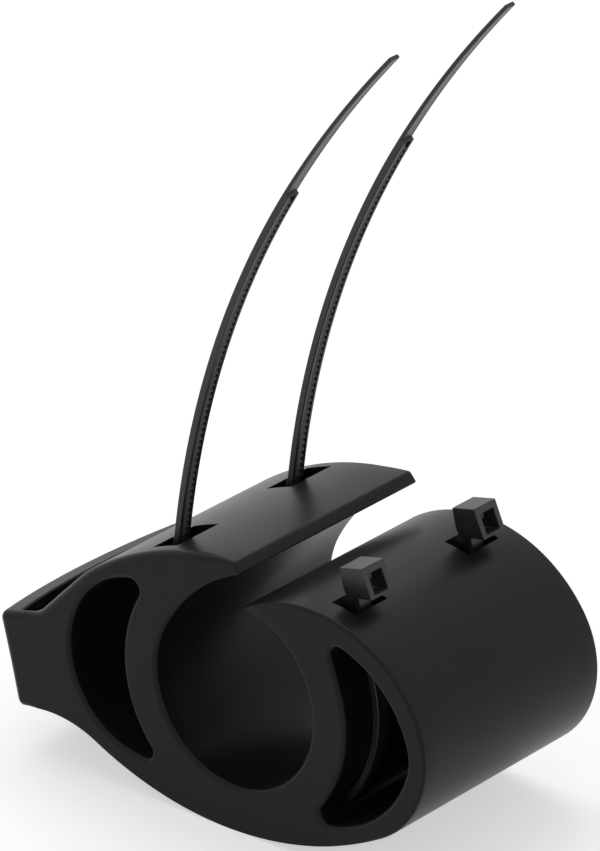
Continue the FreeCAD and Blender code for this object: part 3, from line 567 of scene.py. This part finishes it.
def body_rings(s, at):
    """The outside of the body: its outline in each row, clockwise from the end face's foot.

    The end face of each row is shifted by bow - root of (bow squared - y squared). The last
    number of each line and arc is its count of steps. A pair of lists gives edge rounds that
    change along it: shares of its length, and the round at each.
    """
    rows = Rows(8, 12)
    half = s.depth / 2
    top = s.top_round
    end_y = rows.side * (half - rows.depth * top)
    shift = s.end_bow - np.sqrt(s.end_bow**2 - end_y**2)
    corner = at.corner + np.multiply.outer(shift, at.shelf_along)
    up, along = at.end_up, at.shelf_along

    ramp_along = polar(s.ramp_angle)
    ramp_top = at.flank + polar(math.pi / 2 + s.ramp_angle, s.flank_radius)
    gap = ramp_top - at.corner
    reach = (gap[0] * ramp_along[1] - gap[1] * ramp_along[0]) / math.sin(s.ramp_angle - s.end_tilt)
    fold = at.corner + along * reach
    back = s.bend_radius * math.tan((s.ramp_angle - s.end_tilt) / 2)
    bend = fold - along * back + up * s.bend_radius

    low = s.low_corner
    foot = corner + along * low - at.hollow
    drop = foot @ up - np.sqrt((s.hollow_radius + low) ** 2 - (foot @ along) ** 2)
    low_centre = corner + along * low - np.multiply.outer(drop, up)
    low_end = low_centre - along * low
    low_start = toward(at.hollow, low_centre, s.hollow_radius)
    high_centre = corner + (along - up) * s.end_corner

    tip = crossing(
        at.origin,
        s.bore_radius + s.bore_edge * rows.inset,
        at.jaw_top,
        s.jaw_radius - s.jaw_edge * rows.inset,
        1,
    )
    flank_end = toward(at.dome, at.flank, s.dome_radius)
    lip_start = toward(at.dome, at.lip_high, s.dome_radius)
    face_start = toward(at.lip_face, at.lip_high, s.lip_face)
    face_end = toward(at.lip_face, at.lip_low, s.lip_face)
    lip_end = toward(at.under, at.lip_low, s.lip_under_radius)
    bore_start = toward(at.origin, at.under, -s.bore_radius)
    lobe_start = toward(at.jaw_top, at.lobe, s.jaw_radius)
    belly_start = toward(at.belly, at.lobe, s.belly_radius)
    hollow_start = toward(at.belly, at.hollow, s.belly_radius)
    low_round = min(0.8 * low, top)

    outline = Outline(rows.inset)
    end_edge = ([0, 0.5, 1], [low_round, top, top])
    outline.line(low_end, high_centre - along * s.end_corner, -along, end_edge, 24)
    outline.arc(high_centre, s.end_corner, high_centre - along, high_centre + up, -1, top, 10)
    outline.line(high_centre + up * s.end_corner, fold - along * back, up, top, 16)
    outline.arc(bend, s.bend_radius, fold - along * back, fold + ramp_along * back, 1, top, 10)
    outline.line(fold + ramp_along * back, ramp_top, polar(math.pi / 2 + s.ramp_angle), top, 12)
    outline.arc(at.flank, s.flank_radius, ramp_top, flank_end, -1, top, 24)
    dome_edge = ([0, 0.85, 1], [top, top, s.lip_edge])
    outline.arc(at.dome, s.dome_radius, flank_end, lip_start, -1, dome_edge, 44)
    outline.arc(at.lip_high, s.lip_crease, lip_start, face_start, -1, s.lip_edge, 8)
    face_edge = ([0, 1], [s.lip_edge, s.lip_sharp])
    outline.arc(at.lip_face, s.lip_face, face_start, face_end, -1, face_edge, 8)
    outline.arc(at.lip_low, s.lip_sharp, face_end, lip_end, -1, s.lip_sharp, 6)
    under_edge = ([0, 1], [s.lip_sharp, s.bore_edge])
    outline.arc(at.under, s.lip_under_radius, lip_end, bore_start, 1, under_edge, 20)
    outline.arc(at.origin, s.bore_radius, bore_start, tip, 1, s.bore_edge, 110)
    outline.arc(at.jaw_top, s.jaw_radius, tip, lobe_start, -1, s.jaw_edge, 30)
    outline.arc(at.lobe, s.lobe_radius, lobe_start, belly_start, -1, s.jaw_edge, 60)
    belly_edge = ([0, 0.2, 1], [s.jaw_edge, s.belly_edge, s.belly_edge])
    outline.arc(at.belly, s.belly_radius, belly_start, hollow_start, -1, belly_edge, 64)
    hollow_edge = ([0, 0.8, 1], [s.belly_edge, s.belly_edge, low_round])
    outline.arc(at.hollow, s.hollow_radius, hollow_start, low_start, 1, hollow_edge, 24)
    outline.arc(low_centre, low, low_start, low_end, -1, low_round, 6)
    flat, edge = outline.all()
    return standing(flat, rows.place(half, edge))


def flared_rings(s, draw):
    """A hollow through the whole depth, whose ends flare outwards by a quarter circle."""
    rows = Rows(7, 0)
    outline = Outline(-np.concatenate([rows.inset[:1], rows.inset, rows.inset[-1:]]))
    draw(outline)
    flat, edge = outline.all()
    place = rows.place(s.depth / 2 + HAIR, edge)
    outside = np.full((1, len(edge)), 0.6 * s.depth)
    return standing(flat, np.concatenate([-outside, place, outside]))


def left_cavity(s, at):
    """The crescent between the ring round the bore and the flank."""
    outer = np.array([s.left_x, s.left_z])
    high, low = s.left_top_round, s.left_low_round
    upper = crossing(at.origin, at.ring + high, outer, s.left_radius - high, -1)
    lower = crossing(at.origin, at.ring + low, outer, s.left_radius - low, 1)

    def draw(outline):
        edge = s.bore_edge
        upper_out = toward(outer, upper, s.left_radius)
        lower_out = toward(outer, lower, s.left_radius)
        upper_in = toward(at.origin, upper, at.ring)
        lower_in = toward(at.origin, lower, at.ring)
        outline.arc(outer, s.left_radius, lower_out, upper_out, -1, edge, 40)
        outline.arc(upper, high, upper_out, upper_in, -1, edge, 10)
        outline.arc(at.origin, at.ring, upper_in, lower_in, 1, edge, 36)
        outline.arc(lower, low, lower_in, lower_out, -1, edge, 10)

    return flared_rings(s, draw)


def right_cavity(s, at):
    """The lens between the ring and the lobe's skin, with a rounded end above and below.

    A straight wall runs from the ring to each end: it touches both, so its normal is
    turned from the end's direction by the arc cosine of (ring + round) / distance.
    """
    top_arc = np.array([s.right_x, s.right_z - s.right_spread])
    low_arc = np.array([s.right_x, s.right_z + s.right_spread])
    reach = s.right_radius
    bend = crossing(top_arc, reach - s.right_bend, low_arc, reach - s.right_bend, -1)
    high, low = s.right_top_round, s.right_low_round
    upper = np.array([s.right_top_x, surface_height(s.right_top_x, top_arc, reach - high)])
    lower = np.array([s.right_low_x, 2 * low_arc[1] - surface_height(s.right_low_x, low_arc, reach - low)])
    upper_wall = polar(heading(upper) - math.acos((at.ring + high) / span(upper)))
    lower_wall = polar(heading(lower) + math.acos((at.ring + low) / span(lower)))

    def draw(outline):
        edge = s.bore_edge
        upper_out = toward(top_arc, upper, reach)
        lower_out = toward(low_arc, lower, reach)
        upper_bend = toward(top_arc, bend, reach)
        lower_bend = toward(low_arc, bend, reach)
        upper_in = upper - upper_wall * high
        lower_in = lower - lower_wall * low
        outline.arc(top_arc, reach, upper_out, upper_bend, -1, edge, 30)
        outline.arc(bend, s.right_bend, upper_bend, lower_bend, -1, edge, 8)
        outline.arc(low_arc, reach, lower_bend, lower_out, -1, edge, 30)
        outline.arc(lower, low, lower_out, lower_in, -1, edge, 12)
        outline.line(lower_in, lower_wall * at.ring, -lower_wall, edge, 2)
        outline.arc(at.origin, at.ring, lower_wall, upper_wall, 1, edge, 36)
        outline.line(upper_wall * at.ring, upper_in, -upper_wall, edge, 8)
        outline.arc(upper, high, upper_in, upper_out, -1, edge, 12)

    return flared_rings(s, draw)


def shelf_pocket(s, at):
    """The hollow in the end block, ring by ring up from its floor.

    Its rim widens by rim * (1 - cosine of a) at a height of -rim * (1 - sine of a).
    """
    rim = s.rim_edge
    side_steps = 33
    quarter = np.linspace(0, math.pi / 2, 6)
    wider = np.concatenate([[0], rim * (1 - np.cos(quarter)), [rim]])
    height = np.concatenate([[-s.pocket_depth], -rim * (1 - np.sin(quarter)), [s.pocket_depth]])
    half = s.depth / 2 - s.pocket_wall + wider
    inner = s.end_bow - s.pocket_end_wall + wider
    far = s.pocket_end_wall + s.pocket_length + wider
    across = half[:, None] * np.linspace(-1, 1, side_steps)
    bowed = s.end_bow - np.sqrt(inner[:, None] ** 2 - across**2)
    along = np.concatenate([bowed, np.repeat(far[:, None], side_steps, axis=1)], axis=1)
    across = np.concatenate([across, across[:, ::-1]], axis=1)
    flat = at.corner + along[..., None] * at.shelf_along + height[:, None, None] * at.end_up
    return standing(flat, across)


def prism(corners, middle, width):
    """A form with straight sides: its corners in the XZ plane, carried along the bore."""
    corners = np.array(corners)
    place = np.array([[middle - width / 2], [middle + width / 2]])
    return standing(np.stack([corners, corners]), place * np.ones(len(corners)))


def surface_height(x, centre, radius):
    """How high an upward curve of the outline is: its centre's height + root of (r2 - x2)."""
    return centre[1] + math.sqrt(radius**2 - (x - centre[0]) ** 2)


def dome_slot(s, at, tie, middle):
    """A slot from the dome into the left cavity, one wall touching the ring."""
    right = s.dome_slot_right
    mouth = np.array([right, surface_height(right, at.dome, s.dome_radius)])
    touch = heading(mouth) + math.acos(at.ring / span(mouth))
    along = polar(touch - math.pi / 2)
    top = s.dome_top + tie.bend / 4
    start = mouth + along * (s.dome_slot_left - mouth[0]) / along[0]
    end = mouth + along * (top - mouth[1]) / along[1]
    return prism([start, end, (s.dome_slot_left, top)], middle, s.dome_slot_width)


def lobe_slot(s, at, tie, middle):
    """A slot from above the lobe into the right cavity, one wall touching the ring."""
    lean = polar(math.pi / 2 + tie.neck_angle)
    right, left = s.lobe_slot_right, s.lobe_slot_left
    mouth = np.array([right, surface_height(right, at.jaw_top, s.jaw_radius)])
    left_mouth = np.array([left, surface_height(left, at.jaw_top, s.jaw_radius)])
    touch = heading(left_mouth) - math.acos(at.ring / span(left_mouth))
    along = polar(touch + math.pi / 2)
    top = at.jaw_top[1] + s.jaw_radius + tie.bend / 4
    bottom = at.lobe[1] + s.lobe_radius / 2
    corners = [
        through + direction * (height - through[1]) / direction[1]
        for through, direction, height in [
            (left_mouth, along, bottom),
            (mouth, lean, bottom),
            (mouth, lean, top),
            (left_mouth, along, top),
        ]
    ]
    return prism(corners, middle, s.lobe_slot_width)


class Route:
    """The centre line of a strap: straight runs and arcs that follow each other smoothly."""

    def __init__(self, start, direction):
        self.begins = []
        self.starts = []
        self.directions = []
        self.bends = []
        self.end = start
        self.direction = direction
        self.length = 0.0

    def run(self, reach, bend=0.0):
        """Add a run: its bend is 1 / radius, 0 where it is straight and negative to the right."""
        self.begins.append(self.length)
        self.starts.append(self.end)
        self.directions.append(self.direction)
        self.bends.append(bend)
        self.length += reach
        self.end = self.frames(self.length)[0]
        self.direction += reach * bend

    def arc_to(self, direction, radius):
        """Add an arc that ends in a direction, turning the way that the radius's sign says."""
        self.run((direction - self.direction) * radius, 1 / radius)

    def frames(self, distance):
        """Places and directions at distances along the strap.

        Each lies a chord from its run's start: the length along * sine of half the turn
        over half the turn, in the direction half way through the turn.
        """
        distance = np.asarray(distance)
        run = np.clip(np.searchsorted(self.begins, distance, side="right") - 1, 0, None)
        along = distance - np.array(self.begins)[run]
        turn = along * np.array(self.bends)[run]
        direction = np.array(self.directions)[run]
        chord = along * np.sinc(turn / 2 / math.pi)
        return np.array(self.starts)[run] + polar(direction + turn / 2, chord), direction + turn


# Runs of a strap's route, counted from the head
RIGHT_BEND = 2
LEFT_RING = 5
TAIL = 8


def tie_route(s, at, tie):
    """The strap from its head down into the lobe, round the bore and out at the dome."""
    right_angle = math.pi / 2
    strap_ring = at.ring + tie.gap + tie.thickness / 2
    tunnel = np.array([0, tie.tunnel_radius - tie.tunnel_depth])
    right_bend = crossing(tunnel, tie.tunnel_radius - tie.bend, at.origin, strap_ring - tie.bend, 1)
    exit_centre = np.array([tie.exit_x, tie.exit_z]) + polar(tie.exit_angle + right_angle, tie.exit_bend)
    reach = strap_ring + tie.exit_bend
    leave = heading(exit_centre) + math.acos(reach / span(exit_centre))
    low = heading(right_bend)
    floor = heading(right_bend - tunnel)
    start = polar(tie.neck_angle, strap_ring) + polar(tie.neck_angle + right_angle, tie.neck_length)
    route = Route(start, tie.neck_angle - right_angle)
    route.run(tie.neck_length)
    route.arc_to(low - right_angle, -strap_ring)
    route.arc_to(floor - right_angle, -tie.bend)
    route.arc_to(-floor - 3 * right_angle, -tie.tunnel_radius)
    route.arc_to(-low - 3 * right_angle, -tie.bend)
    route.arc_to(leave - 5 * right_angle, -strap_ring)
    route.run(math.sqrt(span(exit_centre) ** 2 - reach**2))
    route.arc_to(tie.exit_angle - 4 * right_angle, tie.exit_bend)
    route.run(tie.tail_length, -1 / tie.tail_radius)
    route.run(tie.tip_length, -1 / tie.tip_radius)
    return route


def carried(route, distance, section, place):
    """A section carried along the strap: each point lies aside of the route and along Y."""
    centre, direction = route.frames(distance)
    left = polar(direction + math.pi / 2)
    flat = centre[:, None] + section[..., :1] * left[:, None]
    return standing(flat, place[:, None] + section[..., 1])


def tunnel(s, route, tie, middle):
    """The tunnel under the bore: a band round the strap, between the two cavities."""
    steps = 40
    distance = np.linspace(route.begins[RIGHT_BEND], route.begins[LEFT_RING], steps)
    inner = tie.thickness / 2 + tie.gap
    outer = -tie.thickness / 2 - s.tunnel_clearance
    half = s.lobe_slot_width / 2
    section = np.array([(inner, -half), (outer, -half), (outer, half), (inner, half)])
    return carried(route, distance, np.broadcast_to(section, (steps, 4, 2)), np.full(steps, middle))


def make_body(s, tie):
    """The moulded body: its outside, less the cavities, the pocket, the slots and the tunnels."""
    at = BodyPlaces(s)
    route = tie_route(s, at, tie)
    body = solid("rubber_body", skin(body_rings(s, at)))
    hollows = [left_cavity(s, at), right_cavity(s, at), shelf_pocket(s, at)]
    cut(body, solid("hollows", *[skin(rings) for rings in hollows]))
    middles = [s.tie_inset - s.depth / 2, s.depth / 2 - s.tie_inset]
    slots = [slot(s, at, tie, middle) for slot in (dome_slot, lobe_slot) for middle in middles]
    cut(body, solid("slots", *[skin(rings) for rings in slots]))
    tunnels = [tunnel(s, route, tie, middle) for middle in middles]
    cut(body, solid("tunnels", *[skin(rings) for rings in tunnels]))
    shade(body.data, True)
    return body


def strap_rings(route, tie, drift):
    """The strap: a section with two rails and a saw-tooth floor, carried along the route.

    Each tooth has two rings: its crest, and the deep end of its slope just before the next.
    """
    half = tie.thickness / 2
    pitch = tie.tooth_pitch
    slope = 0.93
    thin_from = route.length - tie.tip_length
    crests = np.arange(2, int(thin_from / pitch)) * pitch
    plain = np.linspace(-0.35, 1.6, 4) * pitch
    toothed = np.stack([crests, crests + slope * pitch], axis=1).ravel()
    step = thin_from - 0.05 * pitch
    smooth = np.append(step, np.linspace(thin_from + 0.1 * pitch, route.length, 24))
    distance = np.concatenate([plain, toothed, smooth])
    teeth = np.tile([tie.tooth_depth / 10, tie.tooth_depth], len(crests))
    deep = np.pad(teeth, (len(plain), len(smooth)), constant_values=2 * HAIR)
    thin = distance > thin_from
    low = np.where(thin, half - tie.tip_thickness, -half)
    floor = low + deep
    share = np.clip((distance - thin_from) / tie.tip_length, 0, 1)
    wide = (tie.width + (tie.tip_width - tie.width) * share) / 2
    high = np.full_like(wide, half)
    c = tie.edge
    t = np.full_like(wide, tie.tooth_width / 2)
    ring = [
        (low, c - wide), (low, -t), (floor, -t), (floor, t), (low, t), (low, wide - c),
        (low + c, wide), (high - c, wide), (high, wide - c),
        (high, c - wide), (high - c, -wide), (low + c, -wide),
    ]
    section = np.stack([np.stack(pair, axis=-1) for pair in ring], axis=1)
    return carried(route, distance, section, drift(distance))


def head_shells(route, tie, place):
    """The head: a frame round a window, with a foot set in a little, and the tongue in the window.

    The frame is four loops of six corners, each loop closed and joined to the next: its front
    outside and inside the window, then its back inside and outside. The tongue hangs from the
    frame's top, and its nose looks out of the window's upper corner.
    """
    centre, _ = route.frames(0.0)
    across = polar(tie.neck_angle)
    up = polar(tie.neck_angle + math.pi / 2)
    wide, high = tie.head_width / 2, tie.head_height
    window, low, top = tie.window_width / 2, tie.window_low, tie.window_high
    shoulder = tie.shoulder
    brow = 0.14 * shoulder
    foot = wide - shoulder / 4

    def at(points):
        points = np.array(points)
        flat = centre + points[:, :1] * across + points[:, 2:] * up
        return standing(flat, place + points[:, 1])

    def front(height):
        return tie.head_foot + (tie.head_front - tie.head_foot) * height / high

    def both_sides(corners):
        """Corners up the near side, then the same down the far side."""
        return [(-side, height) for side, height in corners] + corners[::-1]

    back = -tie.head_back
    outer = both_sides([(wide, 0.0), (wide, brow), (wide, high)])
    inner = both_sides([(window, low), (window, shoulder), (window, top)])
    behind = both_sides([(foot, 0.0), (wide, shoulder), (wide, high)])
    frame_loops = np.stack([
        at([(front(h), y, h) for y, h in outer]),
        at([(front(h), y, h) for y, h in inner]),
        at([(back, y, h) for y, h in inner]),
        at([(back, y, h) for y, h in behind]),
    ])
    thick = tie.pawl_thickness
    nose = tie.head_front - thick
    profile = [
        (nose, top + thick / 4), (0.0, top + thick / 4), (0.0, low + thick), (thick / 2, low + thick),
        (thick, top - 2 * thick), (nose, top - 1.5 * thick),
    ]
    sides = (-tie.pawl_width / 2, tie.pawl_width / 6)
    pawl = np.stack([at([(along, side, height) for along, height in profile]) for side in sides])
    return skin(frame_loops, looped=True), skin(pawl)


def make_tie(s, tie, name, middle):
    """One cable tie, threaded through the body at a place along the bore."""
    at = BodyPlaces(s)
    route = tie_route(s, at, tie)

    def drift(distance):
        share = np.clip(distance / route.begins[TAIL], 0, 1)
        return middle + tie.head_drift + (tie.tail_drift - tie.head_drift) * share

    head = solid(name + "_head", *head_shells(route, tie, middle + tie.head_drift))
    bevel = head.modifiers.new("edges", "BEVEL")
    bevel.width = tie.head_edge
    bevel.segments = 1
    bevel.limit_method = "ANGLE"
    bevel.angle_limit = math.radians(25)
    bevel.use_clamp_overlap = False
    settle(head)
    strap = solid(name, skin(strap_rings(route, tie, drift)))
    both = bmesh.new()
    both.from_mesh(strap.data)
    both.from_mesh(head.data)
    both.to_mesh(strap.data)
    both.free()
    bpy.data.objects.remove(head)
    shade(strap.data, False)
    return strap


def uneven(tree, value, noise):
    """A grey that is darker and lighter with a noise."""
    return tree.mix_colours(noise, grey(0.85 * value), grey(1.2 * value))


def rubber(settings):
    """Black moulded rubber: a fine even grain, and slightly uneven sheen."""
    tree = ShaderTree(bpy.data.materials.new("holder_rubber"))
    place = tree.place()
    grain = tree.noise(place, settings.grain_size, detail=3.0, roughness=0.6)
    cloud = tree.noise(place, settings.cloud_size)
    relief = {"Strength": 0.06, "Distance": settings.bump_height, "Height": grain}
    return tree.finish(
        "Principled BSDF",
        Base_Color=uneven(tree, settings.rubber_grey, cloud),
        Roughness=settings.rubber_roughness + 0.06 * (cloud - 0.5) + 0.05 * (grain - 0.5),
        Normal=tree.node("ShaderNodeBump", {}, relief, "Normal"),
        IOR=settings.rubber_ior,
    )


def nylon(settings):
    """Black moulded nylon of the cable ties, with faint flow marks."""
    tree = ShaderTree(bpy.data.materials.new("tie_nylon"))
    flow = tree.noise(tree.place(), settings.flow_size)
    relief = {"Strength": 0.1, "Distance": settings.bump_height, "Height": flow}
    return tree.finish(
        "Principled BSDF",
        Base_Color=uneven(tree, settings.nylon_grey, flow),
        Roughness=settings.nylon_roughness + 0.1 * (flow - 0.5),
        Normal=tree.node("ShaderNodeBump", {}, relief, "Normal"),
        IOR=settings.nylon_ior,
    )


def dress(thing, material):
    """Give an object one material."""
    thing.data.materials.clear()
    thing.data.materials.append(material)


def stand_for(piece, node):
    """Put a piece in a solid's place: hide the solid and set the piece on the part's body."""
    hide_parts(node)
    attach(piece, BODY)


class HOLDER_OT_body(bpy.types.Operator):
    """Model the moulded rubber body"""

    bl_idname = "holder.body"
    bl_label = "Rubber body"

    def execute(self, context):
        scene = context.scene
        body = make_body(scene.holder_body, scene.holder_tie)
        dress(body, rubber(scene.holder_finish))
        stand_for(body, "holder_body")
        return {"FINISHED"}


class HOLDER_OT_ties(bpy.types.Operator):
    """Model the two cable ties"""

    bl_idname = "holder.ties"
    bl_label = "Cable ties"

    def execute(self, context):
        scene = context.scene
        material = nylon(scene.holder_finish)
        middle = scene.holder_body.depth / 2 - scene.holder_body.tie_inset
        for name, place in (("front", -middle), ("rear", middle)):
            tie = make_tie(scene.holder_body, scene.holder_tie, name + "_tie", place)
            dress(tie, material)
            stand_for(tie, name + "_cable_tie")
        return {"FINISHED"}


def camera_matrix(settings):
    """The camera's place and turn from the photograph's angles and the bore's near end."""
    a, e = settings.azimuth, settings.elevation
    right = Vector((math.cos(a), math.sin(a), 0))
    ahead = Vector((-math.sin(a) * math.cos(e), math.cos(a) * math.cos(e), -math.sin(e)))
    up = right.cross(ahead)
    pixels = settings.lens / SENSOR * PHOTO_HEIGHT
    across = settings.bore_across / pixels * settings.distance
    rise = settings.bore_up / pixels * settings.distance
    near_end = Vector((0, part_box("holder_body")[0].y, 0))
    place = near_end - right * across - up * rise - ahead * settings.distance
    matrix = Matrix((right, up, -ahead)).transposed().to_4x4()
    matrix.translation = place
    return matrix


def floor_material(settings):
    """Pale, and lifted to white for the camera and for reflections, so that shadows stay soft."""
    tree = ShaderTree(bpy.data.materials.new("floor"))
    lift = tree.mix_colours(tree.seen(), grey(0.0), grey(settings.floor_lift))
    return tree.finish(
        "Principled BSDF",
        Base_Color=grey(settings.floor_grey),
        Roughness=0.9,
        Emission_Color=lift,
        Emission_Strength=1.0,
    )


def studio_world(settings):
    """White for the camera and for reflections, and a dim even light from all round."""
    tree = ShaderTree(bpy.data.worlds.new("studio"))
    colour = tree.mix_colours(tree.seen(), grey(settings.fill), grey(1.0))
    return tree.finish("Background", Color=colour, Strength=1.0)


def top_light(power):
    """A square soft light above, which faces the middle of the body."""
    data = bpy.data.lights.new("top_light", "AREA")
    data.size = LAMP_SIZE
    data.energy = power
    light = bpy.data.objects.new("top_light", data)
    bpy.context.scene.collection.objects.link(light)
    light.location = LAMP_PLACE
    light.rotation_euler = (Vector(LAMP_TARGET) - Vector(LAMP_PLACE)).to_track_quat("-Z", "Y").to_euler()


class HOLDER_OT_stage(bpy.types.Operator):
    """Set the floor, the light and the photograph's camera"""

    bl_idname = "holder.stage"
    bl_label = "Stage"

    def execute(self, context):
        settings = context.scene.holder_stage
        scene = context.scene
        data = bpy.data.cameras.new("camera")
        data.sensor_fit = "AUTO"
        data.sensor_width = SENSOR
        data.lens = settings.lens
        data.clip_end = 20.0
        camera = bpy.data.objects.new("camera", data)
        camera.matrix_world = camera_matrix(settings)
        scene.collection.objects.link(camera)
        scene.camera = camera

        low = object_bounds()[0][2]
        half = FLOOR_SIZE / 2
        corners = np.array([(-half, -half, low), (half, -half, low), (half, half, low), (-half, half, low)])
        floor = solid("floor", (corners, [[0, 1, 2, 3]]))
        dress(floor, floor_material(settings))
        floor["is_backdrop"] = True

        scene.world = studio_world(settings)
        scene.view_settings.view_transform = "Standard"
        top_light(settings.lamp_power)
        return {"FINISHED"}


class HOLDER_PT_panel(bpy.types.Panel):
    """Lists the pieces and the stage"""

    bl_idname = "HOLDER_PT_panel"
    bl_label = "Watch holder"
    bl_space_type = "VIEW_3D"
    bl_region_type = "UI"
    bl_category = "Watch holder"

    def draw(self, context):
        for operator in OPERATORS:
            self.layout.operator(operator.bl_idname)


OPERATORS = (HOLDER_OT_body, HOLDER_OT_ties, HOLDER_OT_stage)
SETTINGS = {
    "holder_body": BodySizes,
    "holder_tie": TieSizes,
    "holder_finish": HolderFinish,
    "holder_stage": StageSettings,
}
CLASSES = (*SETTINGS.values(), *OPERATORS, HOLDER_PT_panel)


def register():
    for item in CLASSES:
        bpy.utils.register_class(item)
    for name, group in SETTINGS.items():
        setattr(bpy.types.Scene, name, bpy.props.PointerProperty(type=group))


def unregister():
    for name in SETTINGS:
        delattr(bpy.types.Scene, name)
    for item in reversed(CLASSES):
        bpy.utils.unregister_class(item)


def main():
    register()
    bpy.ops.holder.body()
    bpy.ops.holder.ties()
    bpy.ops.holder.stage()


if __name__ == "__main__":
    main()
